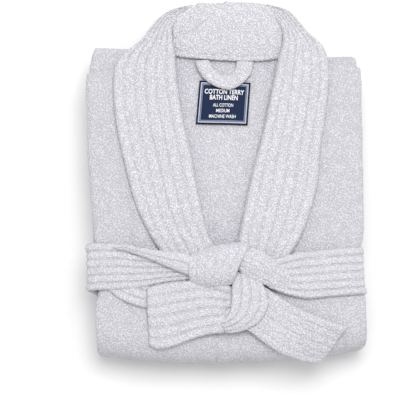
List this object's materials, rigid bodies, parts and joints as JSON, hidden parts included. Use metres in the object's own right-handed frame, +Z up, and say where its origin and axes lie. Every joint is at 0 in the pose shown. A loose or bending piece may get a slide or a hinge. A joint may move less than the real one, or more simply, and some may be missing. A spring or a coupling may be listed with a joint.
{
  "type": "bathrobe",
  "caption": "Folded terry bathrobe with shawl collar, hanging loop and neck label, its belt tied in a half bow round the bundle.",
  "frame": {"origin": "bottom centre of the folded bundle's box", "axes": "+X to the right seen from the front fold, +Y towards the collar, +Z up from the surface it lies on"},
  "size_m": [0.3666, 0.474, 0.119],
  "materials": {
    "robe_terry": "looped cotton terry, off-white",
    "belt_terry": "stitched double terry, off-white",
    "label_weave": "woven satin label, navy"
  },
  "bodies": {
    "robe": {"front_left": "robe_terry", "front_right": "robe_terry", "facing_left": "robe_terry", "facing_right": "robe_terry", "back_panel": "robe_terry", "back_fold": "robe_terry", "back_middle": "robe_terry", "back_turn": "robe_terry", "back_hem": "robe_terry", "sleeve_left": "robe_terry", "sleeve_right": "robe_terry", "cuff_left": "robe_terry", "cuff_right": "robe_terry", "collar_left": "robe_terry", "collar_right": "robe_terry", "neck_tape": "robe_terry", "neck_label": "label_weave", "pocket_left": "robe_terry", "pocket_right": "robe_terry", "belt_wrap": "belt_terry", "belt_under_turn": "belt_terry", "belt_knot": "belt_terry", "belt_knot_wrap": "belt_terry", "belt_bow": "belt_terry", "belt_tail_root": "belt_terry"},
    "loop": {"hanging_loop": "robe_terry"},
    "bow_flap": {"belt_bow_flap": "belt_terry"},
    "tail": {"belt_tail": "belt_terry"}
  },
  "joints": [
    {"name": "loop_lift", "type": "hinge", "parent": "robe", "child": "loop", "pos_m": [0.00451, 0.16072, 0.0785], "axis": [-0.9969, 0.0785, 0], "range_deg": [0, 110]},
    {"name": "bow_lift", "type": "hinge", "parent": "robe", "child": "bow_flap", "pos_m": [0.002, -0.182, 0.098], "axis": [0, 1, 0], "range_deg": [0, 70]},
    {"name": "tail_lift", "type": "hinge", "parent": "robe", "child": "tail", "pos_m": [0.04772, -0.18186, 0.0907], "axis": [-0.4909, -0.8712, 0], "range_deg": [0, 75]}
  ]
}
